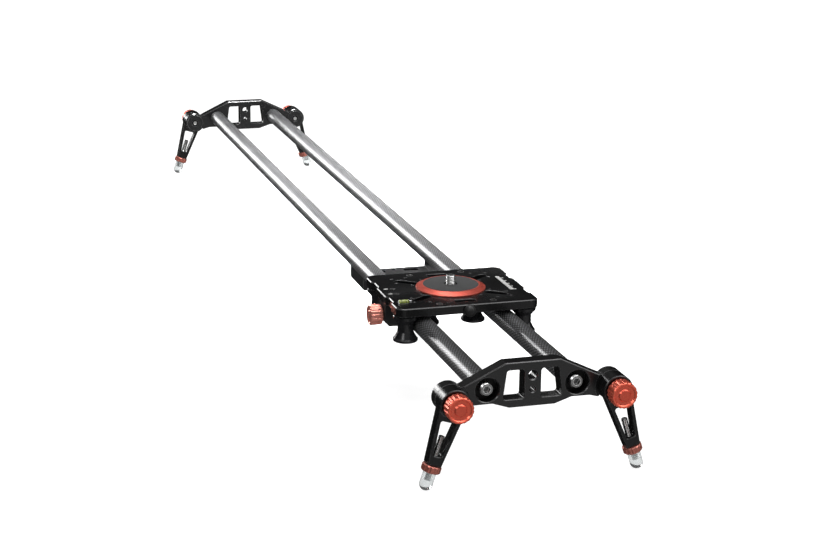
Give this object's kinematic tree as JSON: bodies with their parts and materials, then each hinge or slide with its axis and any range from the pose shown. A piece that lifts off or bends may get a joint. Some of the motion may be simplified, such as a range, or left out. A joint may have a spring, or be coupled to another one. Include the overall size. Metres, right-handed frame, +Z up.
{
  "type": "camera slider",
  "caption": "Camera slider: a carriage with a round camera mount and a brake knob rolls along tubular rails between end plates that stand on splayed, adjustable legs.",
  "frame": {"origin": "on the floor, under the middle of the slider, midway between the rails", "axes": "+Z up, +Y along the rails from the near end to the far end, +X to the right of the rails"},
  "size_m": [0.2126, 1.319, 0.1212],
  "materials": {
    "plate_black": "satin black anodised, finely blasted, edges brighter",
    "leg_black": "satin black anodised",
    "copper_red": "bright copper-red anodised, turned",
    "carbon_tube": "clear-coated carbon weave",
    "pad_rubber": "matt grey rubber",
    "stop_rubber": "matt black rubber",
    "bright_steel": "bright turned steel",
    "socket_steel": "zinc-plated socket screws",
    "insert_steel": "wire thread insert",
    "bearing_steel": "ground bearing steel",
    "level_fluid": "clear yellow-green vial",
    "foot_clear": "cloudy clear plastic",
    "roller_black": "black acetal",
    "mark_white": "printed white marks",
    "plug_black": "black anodised plug",
    "washer_nylon": "natural nylon"
  },
  "bodies": {
    "frame": {"rail_left": "carbon_tube", "rail_right": "carbon_tube", "rail_end_plugs": "plug_black", "rail_screws": "socket_steel", "rail_screw_washers": "bright_steel", "end_plate_near": "plate_black", "end_plate_far": "plate_black", "leg_friction_washers": "washer_nylon", "leg_pivot_bolts": "bright_steel", "rail_support": "plate_black", "rail_support_screws": "socket_steel"},
    "carriage": {"carriage_plate": "plate_black", "carriage_thread_inserts": "insert_steel", "mount_ring": "copper_red", "mount_pad": "pad_rubber", "bump_stops": "stop_rubber", "level_vial": "level_fluid", "level_screw": "bright_steel", "carriage_marks": "mark_white", "roller_axles": "socket_steel", "roller_washers": "bright_steel", "brake_block": "plate_black"},
    "camera_screw": {"camera_screw": "bright_steel"},
    "brake_knob": {"brake_knob": "copper_red"},
    "brake_plunger": {"brake_plunger": "roller_black"},
    "roller_near_left": {"roller_near_left": "roller_black", "roller_bearings_near_left": "bearing_steel"},
    "roller_near_right": {"roller_near_right": "roller_black", "roller_bearings_near_right": "bearing_steel"},
    "roller_far_left": {"roller_far_left": "roller_black", "roller_bearings_far_left": "bearing_steel"},
    "roller_far_right": {"roller_far_right": "roller_black", "roller_bearings_far_right": "bearing_steel"},
    "roller_inner_left": {"roller_inner_left": "roller_black", "roller_bearings_inner_left": "bearing_steel"},
    "roller_inner_right": {"roller_inner_right": "roller_black", "roller_bearings_inner_right": "bearing_steel"},
    "leg_near_right": {"leg_near_right": "leg_black"},
    "leg_knob_near_right": {"leg_knob_near_right": "copper_red"},
    "foot_ring_near_right": {"foot_ring_near_right": "copper_red"},
    "foot_near_right": {"foot_stud_near_right": "bright_steel", "foot_dome_near_right": "foot_clear"},
    "leg_near_left": {"leg_near_left": "leg_black"},
    "leg_knob_near_left": {"leg_knob_near_left": "copper_red"},
    "foot_ring_near_left": {"foot_ring_near_left": "copper_red"},
    "foot_near_left": {"foot_stud_near_left": "bright_steel", "foot_dome_near_left": "foot_clear"},
    "leg_far_right": {"leg_far_right": "leg_black"},
    "leg_knob_far_right": {"leg_knob_far_right": "copper_red"},
    "foot_ring_far_right": {"foot_ring_far_right": "copper_red"},
    "foot_far_right": {"foot_stud_far_right": "bright_steel", "foot_dome_far_right": "foot_clear"},
    "leg_far_left": {"leg_far_left": "leg_black"},
    "leg_knob_far_left": {"leg_knob_far_left": "copper_red"},
    "foot_ring_far_left": {"foot_ring_far_left": "copper_red"},
    "foot_far_left": {"foot_stud_far_left": "bright_steel", "foot_dome_far_left": "foot_clear"}
  },
  "joints": [
    {"name": "carriage_slide", "type": "slide", "parent": "frame", "child": "carriage", "axis": [0, 1, 0], "range_m": [-0.157, 0.937]},
    {"name": "camera_screw_turn", "type": "hinge", "parent": "carriage", "child": "camera_screw", "pos_m": [0, -0.39, 0.1], "axis": [0, 0, 1], "continuous": true},
    {"name": "brake_knob_turn", "type": "hinge", "parent": "carriage", "child": "brake_knob", "pos_m": [-0.075, -0.39, 0.0855], "axis": [1, 0, 0], "range_deg": [0, 360]},
    {"name": "brake_plunger_slide", "type": "slide", "parent": "carriage", "child": "brake_plunger", "axis": [1, 0, 0], "range_m": [0, 0.001]},
    {"name": "roller_spin_near_left", "type": "hinge", "parent": "carriage", "child": "roller_near_left", "pos_m": [-0.0608, -0.437, 0.085], "axis": [0, 0, 1], "range_deg": [-6720, 1130]},
    {"name": "roller_spin_near_right", "type": "hinge", "parent": "carriage", "child": "roller_near_right", "pos_m": [0.0608, -0.437, 0.085], "axis": [0, 0, 1], "range_deg": [-1130, 6720]},
    {"name": "roller_spin_far_left", "type": "hinge", "parent": "carriage", "child": "roller_far_left", "pos_m": [-0.0608, -0.343, 0.085], "axis": [0, 0, 1], "range_deg": [-6720, 1130]},
    {"name": "roller_spin_far_right", "type": "hinge", "parent": "carriage", "child": "roller_far_right", "pos_m": [0.0608, -0.343, 0.085], "axis": [0, 0, 1], "range_deg": [-1130, 6720]},
    {"name": "roller_spin_inner_left", "type": "hinge", "parent": "carriage", "child": "roller_inner_left", "pos_m": [-0.0242, -0.39, 0.085], "axis": [0, 0, 1], "range_deg": [-1130, 6720]},
    {"name": "roller_spin_inner_right", "type": "hinge", "parent": "carriage", "child": "roller_inner_right", "pos_m": [0.0242, -0.39, 0.085], "axis": [0, 0, 1], "range_deg": [-6720, 1130]},
    {"name": "leg_hinge_near_right", "type": "hinge", "parent": "frame", "child": "leg_near_right", "pos_m": [0.0764, -0.6368, 0.0795], "axis": [0, -1, 0], "range_deg": [-63, 72]},
    {"name": "leg_knob_turn_near_right", "type": "hinge", "parent": "frame", "child": "leg_knob_near_right", "pos_m": [0.0764, -0.65, 0.0795], "axis": [0, -1, 0], "range_deg": [0, 360]},
    {"name": "foot_ring_turn_near_right", "type": "hinge", "parent": "leg_near_right", "child": "foot_ring_near_right", "pos_m": [0.09494, -0.6368, 0.02244], "axis": [0.309, 0, -0.9511], "range_deg": [0, 3600]},
    {"name": "foot_slide_near_right", "type": "slide", "parent": "leg_near_right", "child": "foot_near_right", "axis": [0.309, 0, -0.9511], "range_m": [0, 0.01]},
    {"name": "leg_hinge_near_left", "type": "hinge", "parent": "frame", "child": "leg_near_left", "pos_m": [-0.0764, -0.6368, 0.0795], "axis": [0, 1, 0], "range_deg": [-63, 72]},
    {"name": "leg_knob_turn_near_left", "type": "hinge", "parent": "frame", "child": "leg_knob_near_left", "pos_m": [-0.0764, -0.65, 0.0795], "axis": [0, -1, 0], "range_deg": [0, 360]},
    {"name": "foot_ring_turn_near_left", "type": "hinge", "parent": "leg_near_left", "child": "foot_ring_near_left", "pos_m": [-0.09494, -0.6368, 0.02244], "axis": [-0.309, 0, -0.9511], "range_deg": [0, 3600]},
    {"name": "foot_slide_near_left", "type": "slide", "parent": "leg_near_left", "child": "foot_near_left", "axis": [-0.309, 0, -0.9511], "range_m": [0, 0.01]},
    {"name": "leg_hinge_far_right", "type": "hinge", "parent": "frame", "child": "leg_far_right", "pos_m": [0.0764, 0.6368, 0.0795], "axis": [0, -1, 0], "range_deg": [-63, 72]},
    {"name": "leg_knob_turn_far_right", "type": "hinge", "parent": "frame", "child": "leg_knob_far_right", "pos_m": [0.0764, 0.65, 0.0795], "axis": [0, 1, 0], "range_deg": [0, 360]},
    {"name": "foot_ring_turn_far_right", "type": "hinge", "parent": "leg_far_right", "child": "foot_ring_far_right", "pos_m": [0.09494, 0.6368, 0.02244], "axis": [0.309, 0, -0.9511], "range_deg": [0, 3600]},
    {"name": "foot_slide_far_right", "type": "slide", "parent": "leg_far_right", "child": "foot_far_right", "axis": [0.309, 0, -0.9511], "range_m": [0, 0.01]},
    {"name": "leg_hinge_far_left", "type": "hinge", "parent": "frame", "child": "leg_far_left", "pos_m": [-0.0764, 0.6368, 0.0795], "axis": [0, 1, 0], "range_deg": [-63, 72]},
    {"name": "leg_knob_turn_far_left", "type": "hinge", "parent": "frame", "child": "leg_knob_far_left", "pos_m": [-0.0764, 0.65, 0.0795], "axis": [0, 1, 0], "range_deg": [0, 360]},
    {"name": "foot_ring_turn_far_left", "type": "hinge", "parent": "leg_far_left", "child": "foot_ring_far_left", "pos_m": [-0.09494, 0.6368, 0.02244], "axis": [-0.309, 0, -0.9511], "range_deg": [0, 3600]},
    {"name": "foot_slide_far_left", "type": "slide", "parent": "leg_far_left", "child": "foot_far_left", "axis": [-0.309, 0, -0.9511], "range_m": [0, 0.01]}
  ],
  "couplings": [
    {"joint": "brake_plunger_slide", "follows": "brake_knob_turn", "m_per_rad": 0.00015915},
    {"joint": "roller_spin_near_left", "follows": "carriage_slide", "rad_per_m": -125},
    {"joint": "roller_spin_near_right", "follows": "carriage_slide", "rad_per_m": 125},
    {"joint": "roller_spin_far_left", "follows": "carriage_slide", "rad_per_m": -125},
    {"joint": "roller_spin_far_right", "follows": "carriage_slide", "rad_per_m": 125},
    {"joint": "roller_spin_inner_left", "follows": "carriage_slide", "rad_per_m": 125},
    {"joint": "roller_spin_inner_right", "follows": "carriage_slide", "rad_per_m": -125},
    {"joint": "foot_slide_near_right", "follows": "foot_ring_turn_near_right", "m_per_rad": 0.00015915},
    {"joint": "foot_slide_near_left", "follows": "foot_ring_turn_near_left", "m_per_rad": 0.00015915},
    {"joint": "foot_slide_far_right", "follows": "foot_ring_turn_far_right", "m_per_rad": 0.00015915},
    {"joint": "foot_slide_far_left", "follows": "foot_ring_turn_far_left", "m_per_rad": 0.00015915}
  ]
}
